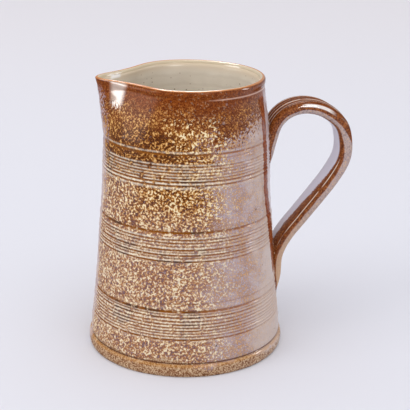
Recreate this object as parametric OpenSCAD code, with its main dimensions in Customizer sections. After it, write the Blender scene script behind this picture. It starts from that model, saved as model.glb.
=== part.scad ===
// Hand-thrown, salt-glazed stoneware jug with a pulled pouring lip, a pulled strap handle,
// three combed bands and a pale glaze lining. Nothing on it moves.
// The origin is the middle of the foot, on the table. The handle points along +X and the lip
// along -X, and +Z is up.

/* [Jug] */
// Height from the table to the crest of the rim
jug_h = 198; // [180:1:230]
// Diameter of the wall just above the foot bead
foot_d = 138.4; // [120:0.2:160]
// Diameter of the wall just under the rim bead
rim_d = 108.4; // [95:0.2:124]

/* [Clay] */
// Thickness of the wall from the inside floor to the neck
wall_t = 4.8; // [3.5:0.1:6.5]
// Thickness of the clay at the rim
rim_t = 4.2; // [3.2:0.1:5.5]
// Thickness of the floor
floor_t = 7; // [5:0.1:11]
// Radius of the curve between the inside floor and the wall
floor_curve_r = 15; // [8:0.5:24]

/* [Foot] */
// Height of the groove above the foot bead
foot_groove_z = 9.4; // [7:0.1:13]
// How far the foot bead stands out from the wall
foot_bead_out = 1.8; // [0.6:0.1:2.6]
// Depth of the groove above the foot bead
foot_groove_deep = 0.4; // [0.2:0.1:1.2]
// Rounding of the bottom edge
foot_edge_r = 1; // [0.6:0.1:2]

/* [Rim] */
// Height of the rolled bead at the rim
rim_bead_h = 4.4; // [3:0.1:7]
// How far the rim bead stands out from the wall
rim_bead_out = 0.6; // [0.2:0.1:1.2]

/* [Lip] */
// How far the pouring lip reaches out past the rim
lip_out = 10.2; // [6:0.2:14]
// Angle from the middle of the lip to its shoulder
lip_spread = 14.5; // [11:0.5:18]
// How far down the wall the pull of the lip can be seen
lip_drop = 44; // [34:1:45]
// How far the rim is pinched in beside the lip
pinch_in = 7; // [2:0.2:8]
// Angle from the middle of the lip to the deepest pinch
pinch_at = 40; // [36:1:50]
// Spread of each pinch round the rim
pinch_spread = 26; // [20:1:30]

/* [Combed bands] */
// Width of one comb groove
groove_w = 1.2; // [0.6:0.1:1.6]
// Depth of one comb groove
groove_deep = 0.5; // [0.2:0.05:0.8]
// Depth below the rim of the single line that starts the upper band
upper_line_drop = 42; // [41:0.5:48]
// Gap between that line and the upper band
upper_gap = 7; // [3:0.5:9]
// Height that the upper band covers
upper_band_h = 14; // [8:0.5:16]
// Number of grooves in the upper band
upper_grooves = 8; // [3:1:9]
// Height of the single line that starts the middle band
middle_line_z = 102.6; // [98:0.2:108]
// Gap between that line and the middle band
middle_gap = 4.6; // [3:0.2:8]
// Height that the middle band covers
middle_band_h = 15.5; // [10:0.5:20]
// Number of grooves in the middle band
middle_grooves = 8; // [3:1:9]
// Height of the single line that starts the lower band
lower_line_z = 47; // [42:0.5:54]
// Gap between that line and the lower band
lower_gap = 4; // [3:0.2:8]
// Height that the lower band covers
lower_band_h = 16; // [10:0.5:20]
// Number of grooves in the lower band
lower_grooves = 8; // [3:1:9]

/* [Lining] */
// Thickness of the poured glaze inside
glaze_t = 0.8; // [0.5:0.1:1.4]

/* [Handle] */
// Depth of the middle of the strap below the rim, at the crest of the handle
handle_drop = 24; // [12:0.5:36]
// Height from there down to where the middle of the strap meets the wall again
handle_h = 124; // [100:0.5:136]
// How far the middle of the strap stands out from the wall
handle_out = 55.7; // [46:0.1:75]
// Width of the strap
strap_w = 25; // [18:0.5:32]
// Extra width at each end, where the strap is worked on to the wall
strap_flare = 4; // [0:0.5:8]
// Thickness of the strap where it leaves the wall at the top
strap_top_t = 9.2; // [8:0.1:12]
// Thickness of the strap in the middle of its length
strap_mid_t = 10.6; // [9:0.1:13]
// Thickness of the strap at its lower end
strap_low_t = 9; // [7:0.1:11]
// Depth of the two finger grooves along the back of the strap
finger_deep = 0.9; // [0.2:0.1:1.4]

/* [Joint slip] */
// Thickness of the slip that sticks each end of the strap to the wall
slip_t = 0.6; // [0.3:0.1:1]

/* [Hidden] */

// Overrun of every cut
over = 2;
// Height over the crest at which the hollow's flare turns upright
crest_clear = 0.2;
// How far the neck is sunk below its joint with the wall, and kept in from both of its faces
neck_lap = 1.2;
neck_inset = 0.25;
// Height over which the neck comes out again to the line of the wall
neck_ease = 1;

// Smoothness of true curves, and facets of the shapes that aren't round
$fn = 96;
ring_facets = 84;
wall_steps = 28;
neck_steps = 9;
hollow_steps = 12;
curve_steps = 4;
strap_steps = 54;
section_facets = 28;

// How far the wall has drawn in from the foot to the rim, at equal steps up
taper_shares = [0, 0.167, 0.335, 0.453, 0.6, 0.665, 0.79, 1];
// Middle line of the strap from its upper end to its lower end: the height between the
// handle's two heights, and the distance out from the wall as a share of handle_out
strap_path_shares = [
    [0.667, -0.115], [0.740, -0.045], [0.811, 0.004], [0.917, 0.101], [0.982, 0.273],
    [1.005, 0.502], [0.979, 0.735], [0.900, 0.932], [0.793, 0.987],
    [0.688, 0.957], [0.577, 0.818], [0.465, 0.617], [0.341, 0.374],
    [0.229, 0.163], [0.122, 0.036], [0.000, -0.012], [-0.096, -0.085]
];
// How square the strap's section is, and where its two finger grooves lie across it
section_square = 3;
finger_place_share = 0.36;
finger_spread_share = 0.2;
// Part of the strap's length that each joint takes in, and over which its ends flare
joint_share = 0.3;
flare_share = 0.16;
// How the lip's pull grows up the neck: 1 is a straight line, and more is a hollow curve
lip_curve = 1.2;
// Height at which the plain wall starts, as a share of the foot groove's height
groove_rise_share = 1.3;
// Unevenness of the facets round the rim, so that most of them lie at the lip
crowd_share = 0.45;

// Worked-out sizes of the wall
foot_r = foot_d / 2;
rim_r = rim_d / 2;
wall_low_z = foot_groove_z * groove_rise_share;
wall_top_z = jug_h - rim_bead_h;
upper_line_z = jug_h - upper_line_drop;
neck_z = upper_line_z - upper_gap / 2;
handle_top_z = jug_h - handle_drop;
handle_low_z = handle_top_z - handle_h;

// A smooth curve through a list of values at equal steps, for u from 0 to 1
function at(list, i) = list[max(0, min(len(list) - 1, i))];
function blend(a, b, c, d, t) =
    0.5 * (2 * b + (c - a) * t + (2 * a - 5 * b + 4 * c - d) * t * t + (3 * b - a - 3 * c + d) * t * t * t);
function along(list, u) =
    let (s = max(0, min(1, u)) * (len(list) - 1), i = min(floor(s), len(list) - 2))
    blend(at(list, i - 1), at(list, i), at(list, i + 1), at(list, i + 2), s - i);

// Radius of the plain wall at a height
function wall_r(z) = foot_r - (foot_r - rim_r) * along(taper_shares, (z - wall_low_z) / (wall_top_z - wall_low_z));

// Shape of the lip round the jug: 1 in the middle of a bump and 0 far from it
function bump(angle, spread) = exp(-pow(angle / spread, 2));
// Angle from the lip, from 0 at the lip to 180 at the handle
function from_lip(angle) = abs(angle - 360 * floor((angle + 180) / 360));
// How strongly the pull of the lip shows at a height: 0 below it and 1 at the rim
function lip_pull(z) = pow(max(0, min(1, (z - jug_h + lip_drop) / lip_drop)), lip_curve);
// How far the lip and the pinches move the wall at a height and an angle from the lip
function lip_shift(z, angle) =
    let (a = from_lip(angle))
    lip_pull(z) * (lip_out * bump(a, lip_spread) - pinch_in * bump(a - pinch_at, pinch_spread));

// A closed loop of points at one height, as the lip and the pinches shift it at another. A
// bead that stands out from it fades away at the lip.
function ring_angle(i) = let (a = 360 * i / ring_facets - 180) a - crowd_share * sin(a) * 180 / PI;
function ring(r, z, lip_z, bead = 0) = [
    for (i = [0 : ring_facets - 1])
        let (
            a = ring_angle(i),
            fade = bead > 0 ? 1 - bump(a, lip_spread) : 1,
            reach = r + lip_shift(lip_z, a) + bead * fade
        )
        [-reach * cos(a), -reach * sin(a), z]
];
// Clay thickness at a height, from the wall's to the rim's
function clay_t(z) = wall_t + (rim_t - wall_t) * max(0, min(1, (z - neck_z) / (wall_top_z - neck_z)));

// A solid from a stack of loops, each with the same number of points, closed at both ends
module stack(loops) {
    n = len(loops[0]);
    m = len(loops);
    points = [for (loop = loops) each loop];
    low = [for (i = [1 : n - 2]) [0, i, i + 1]];
    high = [for (i = [1 : n - 2]) [(m - 1) * n, (m - 1) * n + i + 1, (m - 1) * n + i]];
    sides = [
        for (j = [0 : m - 2])
            for (i = [0 : n - 1])
                let (a = j * n + i, b = j * n + (i + 1) % n)
                each [[a, a + n, b], [b, a + n, b + n]]
    ];
    polyhedron(points = points, faces = concat(low, sides, high));
}

// Outline of the wall from the foot to a height, with a film of clay or slip of a thickness on it
function wall_line(low_z, high_z, film) = [
    for (i = [0 : wall_steps])
        let (z = low_z + (high_z - low_z) * i / wall_steps)
        [wall_r(z) + film, z]
];

// Half outline of the foot: a flat base, a round bottom edge, the bead and its groove
base_r = foot_r + foot_bead_out / 2;
bead_mid_z = foot_groove_z / 2;
function foot_line() = concat(
    [[0, 0]],
    [
        for (a = [0 : 30 : 60])
            [base_r - foot_edge_r * (1 - sin(a)), foot_edge_r * (1 - cos(a))]
    ],
    [
        for (a = [-45 : 15 : 75])
            [foot_r + foot_bead_out * cos(a), bead_mid_z + bead_mid_z * sin(a)]
    ],
    [[foot_r - foot_groove_deep, foot_groove_z]]
);

// One comb groove, a shallow V that runs right round the wall
module comb_groove(z) {
    r = wall_r(z);
    rotate_extrude()
        polygon([
            [r - groove_deep, z],
            [r + over, z - groove_w / 2 * (over + groove_deep) / groove_deep],
            [r + over, z + groove_w / 2 * (over + groove_deep) / groove_deep]
        ]);
}
module comb_band(high_z, band_h, grooves) {
    for (i = [0 : grooves - 1])
        comb_groove(high_z - band_h * i / (grooves - 1));
}

// The wall's outside up to the neck, with its foot and its combed bands
module wall_outside() {
    difference() {
        rotate_extrude()
            polygon(concat(foot_line(), wall_line(wall_low_z, neck_z, 0), [[0, neck_z]]));
        comb_band(upper_line_z - upper_gap, upper_band_h, upper_grooves);
        comb_groove(middle_line_z);
        comb_band(middle_line_z - middle_gap, middle_band_h, middle_grooves);
        comb_groove(lower_line_z);
        comb_band(lower_line_z - lower_gap, lower_band_h, lower_grooves);
    }
}

// The neck's outside: the upper line, the wall with the lip pulled out of it, and a rolled
// bead that fades out at the lip and ends in a round crest
function neck_ring(z, out) = ring(wall_r(z) + out, z, z);
function bead_ring(z, out) = ring(rim_r, z, z, out);
module neck_outside() {
    bead_mid_z = wall_top_z + rim_bead_h / 2;
    crest_r = rim_t / 2;
    line_z = upper_line_z + groove_w / 2;
    stack(concat(
        [neck_ring(neck_z - neck_lap, -neck_inset), neck_ring(neck_z, -neck_inset)],
        [neck_ring(neck_z + neck_ease, 0), neck_ring(upper_line_z - groove_w / 2, 0)],
        [neck_ring(upper_line_z, -groove_deep)],
        [
            for (i = [0 : neck_steps])
                neck_ring(line_z + (wall_top_z - line_z) * i / neck_steps, 0)
        ],
        [
            for (a = [-40 : 20 : 0])
                bead_ring(bead_mid_z + rim_bead_h / 2 * sin(a), rim_bead_out * cos(a))
        ],
        [
            for (a = [30 : 30 : 90])
                bead_ring(bead_mid_z + rim_bead_h / 2 * sin(a), rim_bead_out - crest_r * (1 - cos(a)))
        ]
    ));
}

module clay_outside() {
    union() {
        wall_outside();
        neck_outside();
    }
}

// Loops of the hollow, from the floor up to the rim's inner edge. A skin of a thickness draws
// it in all round.
inner_r = function (z, skin) wall_r(z) - clay_t(z) - skin;
function hollow_floor(skin) = [
    for (i = [0 : curve_steps])
        let (
            a = 90 * i / curve_steps,
            z = floor_t + skin + floor_curve_r * (1 - cos(a)),
            r = inner_r(floor_t + floor_curve_r, skin) - floor_curve_r * (1 - sin(a))
        )
        ring(r, z, 0)
];
function hollow_wall(skin) = [
    for (i = [1 : hollow_steps])
        let (
            low_z = floor_t + floor_curve_r + skin,
            z = low_z + (wall_top_z - low_z) * i / hollow_steps
        )
        ring(inner_r(z, skin), z, z)
];
function hollow_rim(skin) = [
    ring(rim_r + rim_bead_out - rim_t - skin, jug_h - rim_t / 2, jug_h)
];

module hollow(skin) {
    edge = rim_r + rim_bead_out - rim_t;
    stack(concat(
        hollow_floor(skin), hollow_wall(skin), hollow_rim(skin),
        [ring(edge + rim_t / 2, jug_h + crest_clear, jug_h)],
        [ring(edge + rim_t / 2, jug_h + over, jug_h)]
    ));
}

// The jug itself: floor, wall, neck and lip are one lump of clay
module thrown_body() {
    color("peru")
        difference() {
            clay_outside();
            hollow(0);
        }
}

// The pale glaze poured inside, a thin coat from the floor up to the rim's inner edge
module liner_glaze() {
    outside = concat(hollow_floor(0), hollow_wall(0), hollow_rim(0));
    inside = concat(hollow_floor(glaze_t), hollow_wall(glaze_t), hollow_rim(glaze_t));
    n = ring_facets;
    m = len(outside);
    points = concat([for (loop = outside) each loop], [for (loop = inside) each loop]);
    skin = function (first, out)
        [
            for (j = [0 : m - 2])
                for (i = [0 : n - 1])
                    let (
                        a = first + j * n + i,
                        b = first + j * n + (i + 1) % n,
                        one = [a, a + n, b],
                        two = [b, a + n, b + n]
                    )
                    each (out ? [one, two] : [[one[0], one[2], one[1]], [two[0], two[2], two[1]]])
        ];
    floors = [
        for (i = [1 : n - 2])
            each [[0, i, i + 1], [m * n, m * n + i + 1, m * n + i]]
    ];
    edge = [
        for (i = [0 : n - 1])
            let (
                a = (m - 1) * n + i,
                b = (m - 1) * n + (i + 1) % n,
                c = a + m * n,
                d = b + m * n
            )
            each [[a, c, b], [b, c, d]]
    ];
    color("gainsboro")
        polyhedron(points = points, faces = concat(floors, skin(0, true), skin(m * n, false), edge));
}

// Middle line of the strap, its direction, and its size at a share of its length
function strap_mid(u) =
    let (
        z = handle_low_z + (handle_top_z - handle_low_z) * along([for (p = strap_path_shares) p[0]], u),
        out = handle_out * along([for (p = strap_path_shares) p[1]], u)
    )
    [wall_r(z) + out, z];
function strap_way(u) =
    let (
        step = 1 / strap_steps / 4,
        d = strap_mid(min(1, u + step)) - strap_mid(max(0, u - step))
    )
    d / norm(d);
function strap_t(u) =
    let (belly = strap_mid_t - (strap_top_t + strap_low_t) / 2)
    strap_top_t + (strap_low_t - strap_top_t) * u + belly * pow(sin(180 * u), 2);
function strap_half_w(u) =
    strap_w / 2 + strap_flare / 2 * (bump(u, flare_share) + bump(1 - u, flare_share));

// Section of the strap: a rounded oblong whose back has two finger grooves
function power(x, p) = sign(x) * pow(abs(x), p);
function strap_ring(u) =
    let (
        mid = strap_mid(u),
        way = strap_way(u),
        back = [-way[1], way[0]],
        half_w = strap_half_w(u),
        half_t = strap_t(u) / 2,
        deep = finger_deep * (1 - bump(u, flare_share) - bump(1 - u, flare_share))
    )
    [
        for (i = [0 : section_facets - 1])
            let (
                a = 360 * i / section_facets,
                across = power(cos(a), 2 / section_square),
                thick = power(sin(a), 2 / section_square),
                dent = thick > 0
                    ? deep * (bump(across - finger_place_share, finger_spread_share)
                        + bump(across + finger_place_share, finger_spread_share))
                    : 0,
                p = mid + back * (half_t * thick - dent)
            )
            [p[0], half_w * across, p[1]]
    ];
module strap_sweep(from_share, to_share) {
    steps = ceil(strap_steps * (to_share - from_share));
    stack([for (i = [0 : steps]) strap_ring(from_share + (to_share - from_share) * i / steps)]);
}

// The solid inside the plain wall, with a film of a thickness on it
module wall_seat(film) {
    rotate_extrude()
        polygon(concat([[0, 0]], wall_line(0, wall_top_z, film), [[0, wall_top_z]]));
}

// The pulled strap, its two ends shaped to the wall
module handle_strap() {
    color("saddlebrown")
        difference() {
            strap_sweep(0, 1);
            wall_seat(slip_t);
        }
}

// The slip between one end of the strap and the wall
module joint_slip(from_share, to_share) {
    color("tan")
        difference() {
            intersection() {
                strap_sweep(from_share, to_share);
                wall_seat(slip_t);
            }
            wall_seat(0);
        }
}
module upper_joint_slip() {
    joint_slip(0, joint_share);
}
module lower_joint_slip() {
    joint_slip(1 - joint_share, 1);
}

thrown_body();
liner_glaze();
handle_strap();
upper_joint_slip();
lower_joint_slip();
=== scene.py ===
# %% [markdown]
# # A salt-glazed stoneware jug
# The real jug is thrown on a wheel from one lump of clay, its lip is pulled out with a finger,
# its handle is a pulled strap, and three bands are combed round it. It could be sculpted by
# hand in the viewport, but a pot is a rule: one section, turned round an axis. So each main
# piece here is a section and a Geometry Nodes tree that turns or sweeps it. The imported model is
# loaded first, as a frame that fixes every size and place.

import math
import bmesh
import bpy
import numpy as np
from mathutils import Matrix, Vector


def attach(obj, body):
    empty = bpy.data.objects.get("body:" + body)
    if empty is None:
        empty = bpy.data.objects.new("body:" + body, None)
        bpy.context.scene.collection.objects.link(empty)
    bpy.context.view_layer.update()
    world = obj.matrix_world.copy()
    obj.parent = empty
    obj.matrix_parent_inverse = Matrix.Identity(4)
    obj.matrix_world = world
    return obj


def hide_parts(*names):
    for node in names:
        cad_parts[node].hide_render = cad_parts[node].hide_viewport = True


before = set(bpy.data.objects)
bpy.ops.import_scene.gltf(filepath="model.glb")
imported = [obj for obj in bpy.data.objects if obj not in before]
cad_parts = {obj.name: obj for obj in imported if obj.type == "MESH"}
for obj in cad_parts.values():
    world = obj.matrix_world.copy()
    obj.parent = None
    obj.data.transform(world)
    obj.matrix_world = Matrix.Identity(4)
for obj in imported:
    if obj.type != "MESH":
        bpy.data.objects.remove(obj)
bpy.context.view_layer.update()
mm = 0.001
in_mm = 1000.0
print("frame nodes:", ", ".join(sorted(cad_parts)))

# %% [markdown]
# ## Small helpers for node trees
# Every tree here is wired by the same few lines. A plain number is written on the socket, and a
# value from another node is linked to it. Such a value knows its tree, so a sum can be written
# as a sum: `a * b` is one Math node. A fade goes softly from 0 at its low end to 1 at its high
# end, and most masks below are fades multiplied.

# %% Values and nodes


class Value:
    def __init__(self, tree, socket):
        self.tree = tree
        self.socket = socket

    def __add__(self, other):
        return calc("ADD", self, other)

    def __sub__(self, other):
        return calc("SUBTRACT", self, other)

    def __rsub__(self, other):
        return calc("SUBTRACT", other, self)

    def __mul__(self, other):
        return calc("MULTIPLY", self, other)

    def __truediv__(self, other):
        return calc("DIVIDE", self, other)

    def __rtruediv__(self, other):
        return calc("DIVIDE", other, self)

    def __pow__(self, other):
        return calc("POWER", self, other)

    def __abs__(self):
        return calc("ABSOLUTE", self)

    def __neg__(self):
        return self * -1.0


class Node:
    def __init__(self, tree, kind, settings=None, **inputs):
        self.tree = tree
        self.node = tree.nodes.new(kind)
        for name, value in (settings or {}).items():
            setattr(self.node, name, value)
        for name, value in inputs.items():
            wire(self.node.inputs[name.replace("_", " ")], value)

    def __getitem__(self, which):
        return Value(self.tree, self.node.outputs[which])


def wire(socket, value):
    if isinstance(value, Value):
        value.tree.links.new(value.socket, socket)
    else:
        socket.default_value = value


def tree_of(values):
    return next(value.tree for value in values if isinstance(value, Value))


print("a sum of values becomes a chain of Math nodes")

# %% Sums, fades and noise


def calc(operation, *values, clamp=False):
    node = Node(tree_of(values), "ShaderNodeMath", {"operation": operation, "use_clamp": clamp})
    for socket, value in zip(node.node.inputs, values):
        wire(socket, value)
    return node[0]


def larger(a, b):
    return calc("MAXIMUM", a, b)


def fade(value, low, high, to_low=0.0, to_high=1.0, soft=True):
    kind = "SMOOTHSTEP" if soft else "LINEAR"
    return Node(value.tree, "ShaderNodeMapRange", {"interpolation_type": kind}, Value=value,
                From_Min=low, From_Max=high, To_Min=to_low, To_Max=to_high)[0]


def fade_mm(value, low, high, *ends, soft=True):
    return fade(value, low * mm, high * mm, *ends, soft=soft)


def dimmed(mask, share):
    return mask * -share + 1.0


def noise(place, scale, detail, **more):
    return Node(place.tree, "ShaderNodeTexNoise", Vector=place, Scale=scale, Detail=detail, **more)[0]


def axes(place):
    return Node(place.tree, "ShaderNodeSeparateXYZ", Vector=place)


print("a fade is written in metres or in millimetres")

# %% Trees, groups and objects
FLOAT = "NodeSocketFloat"
VECTOR = "NodeSocketVector"
GEOMETRY = "NodeSocketGeometry"
MATERIAL = "NodeSocketMaterial"
number_kinds = {float: FLOAT, int: "NodeSocketInt"}


def new_tree(name, kind, inputs, outputs):
    tree = bpy.data.node_groups.new(name, kind)
    for label, value in inputs.items():
        socket_kind = number_kinds.get(type(value), value)
        socket = tree.interface.new_socket(label, in_out="INPUT", socket_type=socket_kind)
        if type(value) in number_kinds:
            socket.default_value = value
    for label in outputs:
        socket_kind = GEOMETRY if label == "Geometry" else FLOAT
        tree.interface.new_socket(label, in_out="OUTPUT", socket_type=socket_kind)
    return tree, Node(tree, "NodeGroupInput"), Node(tree, "NodeGroupOutput").node.inputs


def group(which, **inputs):
    kind = which.bl_idname.replace("NodeTree", "NodeGroup")
    return Node(tree_of(inputs.values()), kind, {"node_tree": which}, **inputs)


def new_piece(name, data):
    piece = bpy.data.objects.new(name, data)
    bpy.context.scene.collection.objects.link(piece)
    return piece


print("number sockets:", ", ".join(number_kinds.values()))

# %% [markdown]
# ## The potter's measurements
# These are the same lengths that the frame was made from: the height, the draw-in of the wall
# from the foot to the rim, and the pull of the lip. The wall is nearly a cone with a soft swell,
# so its radius is a smooth curve through eight shares at equal steps up.

# %% Sizes of the wall
jug_h = 198 * mm
foot_r = 69.2 * mm
rim_r = 54.2 * mm
wall_t = 4.8 * mm
rim_t = 4.2 * mm
wall_low_z = 12.22 * mm
wall_top_z = 193.6 * mm
neck_z = 152.5 * mm
taper_shares = (0, 0.167, 0.335, 0.453, 0.6, 0.665, 0.79, 1)


def held(value, low=0.0, high=1.0):
    return min(high, max(low, value))


def smooth_curve(points, share):
    share = held(share) * (len(points) - 1)
    i = min(int(share), len(points) - 2)
    t = share - i
    a, b, c, d = (points[held(i + k, 0, len(points) - 1)] for k in (-1, 0, 1, 2))
    bend = (2 * a - 5 * b + 4 * c - d) * t * t + (3 * b - a - 3 * c + d) * t ** 3
    return 0.5 * (2 * b + (c - a) * t + bend)


def wall_r(z):
    share = (z - wall_low_z) / (wall_top_z - wall_low_z)
    return foot_r - (foot_r - rim_r) * smooth_curve(taper_shares, share)


print("wall radius half way up, mm:", round(wall_r(jug_h / 2) / mm, 1))

# %% [markdown]
# ## The combed bands
# The potter holds a comb, then a single tooth, against the turning wall. No two teeth cut alike,
# so the grooves are listed one by one with a height, a depth and a width, read off the
# photograph. A comb line on such a jug is under a millimetre deep. The second list marks where
# the glaze has run pale on the ridges between them, by height and strength.

# %% The grooves, one by one
comb_lines = [
    (159.0, 0.20, 1.2), (156.0, 0.50, 1.5), (153.3, 0.22, 1.2),
    (147.9, 0.30, 1.3), (146.0, 0.26, 1.1), (143.9, 0.32, 1.2), (141.9, 0.28, 1.1),
    (139.8, 0.34, 1.2), (137.7, 0.48, 1.4), (135.0, 0.44, 1.3),
    (102.6, 0.62, 1.8), (97.6, 0.36, 1.3), (95.4, 0.38, 1.2), (93.2, 0.28, 1.1),
    (90.6, 0.48, 1.4), (88.9, 0.24, 1.0), (86.8, 0.46, 1.3), (84.9, 0.30, 1.1),
    (82.5, 0.46, 1.4),
    (52.4, 0.18, 1.2), (47.0, 0.66, 1.8), (45.0, 0.30, 1.1), (42.8, 0.46, 1.3),
    (40.1, 0.36, 1.2), (37.8, 0.40, 1.2), (35.6, 0.36, 1.2), (33.3, 0.38, 1.2),
    (31.4, 0.32, 1.1), (29.5, 0.34, 1.1), (27.1, 0.50, 1.4),
]
pale_ridges = [
    (157.6, 0.5), (149.2, 0.7), (147.0, 0.6), (145.0, 0.7), (142.9, 0.6), (140.8, 0.7),
    (138.7, 1.0), (136.4, 1.0), (133.8, 0.7),
    (98.9, 0.9), (96.5, 0.6), (94.3, 0.5), (92.0, 0.9), (89.7, 0.5), (88.0, 0.9),
    (85.8, 0.5), (83.7, 1.0), (81.2, 0.5),
    (49.9, 1.0), (46.0, 0.6), (44.0, 0.8), (41.5, 0.9), (39.0, 0.8), (36.7, 0.8), (34.4, 0.8),
    (32.3, 0.7), (30.4, 0.8), (28.3, 0.8), (25.8, 0.7),
]
comb_bands = ((24, 54), (80, 105), (132, 161))
groove_sharpness = 1.4
ridge_spread = 0.55


def bell(gap, spread):
    return math.exp(-(gap / spread) ** 2)


def groove_share(z):
    best = 0.0
    for line_z, deep, wide in comb_lines:
        gap = abs(z / mm - line_z) / (wide / 2)
        if gap < 2:
            best = max(best, deep * math.exp(-gap * gap * groove_sharpness))
    return best


def ridge_share(z):
    return max(level * bell(z / mm - ridge_z, ridge_spread) for ridge_z, level in pale_ridges)


print(len(comb_lines), "comb lines and", len(pale_ridges), "pale ridges")

# %% [markdown]
# ## The section of the jug
# A wheel turns any line into a pot, so the whole jug is drawn once as half a section: along the
# table, round the foot bead, up the wall, over the rolled rim and down inside. Each point
# carries what the lathe tree needs: the height whose pull of the lip it feels, how much bead it
# adds, how deep its groove is, how pale its ridge is and how far over the rim it lies. Rows lie
# closer where the comb has been.

# %% Draw the outside section
foot_bead_out = 1.7 * mm
foot_groove_z = 9.4 * mm
foot_corner_r = 1.2 * mm
foot_groove = ((0.1, 9.1), (0.45, 9.6), (0.1, 10.4))
rim_bead_out = 0.6 * mm
rim_bead_h = 4.4 * mm
rim_bead_swell = 0.7
wall_start_z = 11.2 * mm
wall_end_gap = 0.5 * mm
comb_reach = 2.2
fine_step = 0.36
wide_step = 1.5


def throwing_rings(z):
    return 0.10 * math.sin(z / mm * 0.71) + 0.07 * math.sin(z / mm * 1.9 + 1)


def turns(first, last, step):
    return [math.radians(a) for a in range(first, last, step)]


def foot_rows():
    rows = [dict(r=r, z=0.0) for r in (0.0, 34 * mm, 60 * mm)]
    base_r = foot_r + foot_bead_out / 2
    rows += [dict(r=base_r - foot_corner_r * (1 - math.sin(a)), z=foot_corner_r * (1 - math.cos(a)))
             for a in turns(0, 91, 15)]
    mid = foot_groove_z / 2
    rows += [dict(r=foot_r + foot_bead_out * math.cos(a), z=mid + mid * math.sin(a))
             for a in turns(-40, 76, 10)]
    return rows + [dict(r=foot_r - into * mm, z=z * mm) for into, z in foot_groove]


def wall_rows():
    rows = []
    z = wall_start_z
    while z < wall_top_z - wall_end_gap:
        cut = groove_share(z)
        gap = min(abs(z / mm - line[0]) for line in comb_lines)
        rows.append(dict(r=wall_r(z) - (cut - throwing_rings(z)) * mm, z=z,
                         groove=cut, ridge=ridge_share(z)))
        z += (fine_step if gap < comb_reach else wide_step) * mm
    return rows


def rim_rows():
    mid = wall_top_z + rim_bead_h / 2
    rows = [dict(r=rim_r, z=mid + rim_bead_h / 2 * math.sin(a),
                 bead=rim_bead_out * max(0.0, math.cos(a)) ** rim_bead_swell)
            for a in turns(-80, 1, 10)]
    for a in range(8, 173, 8):
        turn = math.radians(a)
        z = mid + rim_bead_h / 2 * math.sin(turn)
        rows.append(dict(r=rim_r, z=z, bead=rim_bead_out - rim_t / 2 * (1 - math.cos(turn)),
                         rim=held((a - 30) / 90), pull=jug_h if a > 60 else z))
    return rows


outside_rows = foot_rows() + wall_rows()
print(len(outside_rows), "rows outside and", len(rim_rows()), "round the rim")

# %% Draw the inside section
floor_t = 7 * mm
floor_curve_r = 15 * mm
inside_count = 26
bare_from_z = 184 * mm
row_facts = ("pull", "bead", "groove", "ridge", "rim")


def clay_t(z):
    return wall_t + (rim_t - wall_t) * held((z - neck_z) / (wall_top_z - neck_z))


def inside_rows(skin):
    low_z = floor_t + skin + floor_curve_r
    rows = []
    for i in range(inside_count + 1):
        z = wall_top_z + (low_z - wall_top_z) * i / inside_count
        rows.append(dict(r=wall_r(z) - clay_t(z) - skin, z=z))
    corner = wall_r(low_z) - clay_t(low_z) - skin - floor_curve_r
    rows += [dict(r=corner + floor_curve_r * math.sin(a),
                  z=floor_t + skin + floor_curve_r * (1 - math.cos(a)))
             for a in turns(80, -1, -10)]
    return rows + [dict(r=r, z=floor_t + skin) for r in (corner / 2, 0.0)]


def line_object(name, rows, facts):
    mesh = bpy.data.meshes.new(name)
    mesh.from_pydata([row["place"] for row in rows], [(i, i + 1) for i in range(len(rows) - 1)], [])
    for fact_name in facts:
        values = np.array([row[fact_name] for row in rows], dtype=float)
        kind, field = ("FLOAT_VECTOR", "vector") if values.ndim == 2 else ("FLOAT", "value")
        mesh.attributes.new(fact_name, kind, "POINT").data.foreach_set(field, values.ravel())
    return new_piece(name, mesh)


def section_object(rows):
    none = dict.fromkeys(row_facts, 0.0)
    full = [{**none, "pull": row["z"], **row, "place": (row["r"], 0, row["z"])} for row in rows]
    return line_object("section", full, row_facts)


jug_rows = outside_rows + rim_rows()
jug_rows += [{**row, "rim": 1.0} if row["z"] > bare_from_z else row for row in inside_rows(0)]
print("the jug's section has", len(jug_rows), "rows")

# %% [markdown]
# ## The lathe
# Spin would turn the section too, but then the lip would be a second job. In this tree a flat
# grid is bent round the axis: its columns are angles, and its rows look up the section by their
# number. The pull of the lip is added to the radius in the same sum: a bump at the lip, less a
# pinch at each side of it, which fades down the wall. Columns crowd at the lip, where the shape
# turns fastest. A thrown wall is never quite true, so a slow noise moves it a little. Merge by
# Distance closes the seam and the poles.

# %% The bump of a finger, as a group of its own


def finger_bump_group():
    tree, start, end = new_tree("Finger bump", "GeometryNodeTree",
                                {"Angle": 0.0, "Centre": 0.0, "Spread": 1.0}, ["Bump"])
    share = (start["Angle"] - start["Centre"]) / start["Spread"]
    wire(end["Bump"], calc("EXPONENT", -(share * share)))
    return tree


finger_bump = finger_bump_group()
print("group:", finger_bump.name)

# %% What both shape trees share
merge_gap = 0.002 * mm


def position(tree):
    return Node(tree, "GeometryNodeInputPosition")[0]


def grid_of_rows(tree, start):
    grid = Node(tree, "GeometryNodeMeshGrid", Vertices_X=start["Columns"],
                Vertices_Y=start["Rows"], Size_X=1.0, Size_Y=1.0)
    place = axes(position(tree))
    row = calc("ROUND", (place["Y"] + 0.5) * (start["Rows"] - 1.0))
    return grid["Mesh"], row, place["X"] * (2 * math.pi)


def look_up(line, row, name=None, kind="FLOAT"):
    if name:
        value = Node(line.tree, "GeometryNodeInputNamedAttribute", {"data_type": kind},
                     Name=name)["Attribute"]
    else:
        value = position(line.tree)
    return Node(line.tree, "GeometryNodeSampleIndex", {"data_type": kind, "clamp": True},
                Geometry=line, Value=value, Index=row)["Value"]


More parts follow.
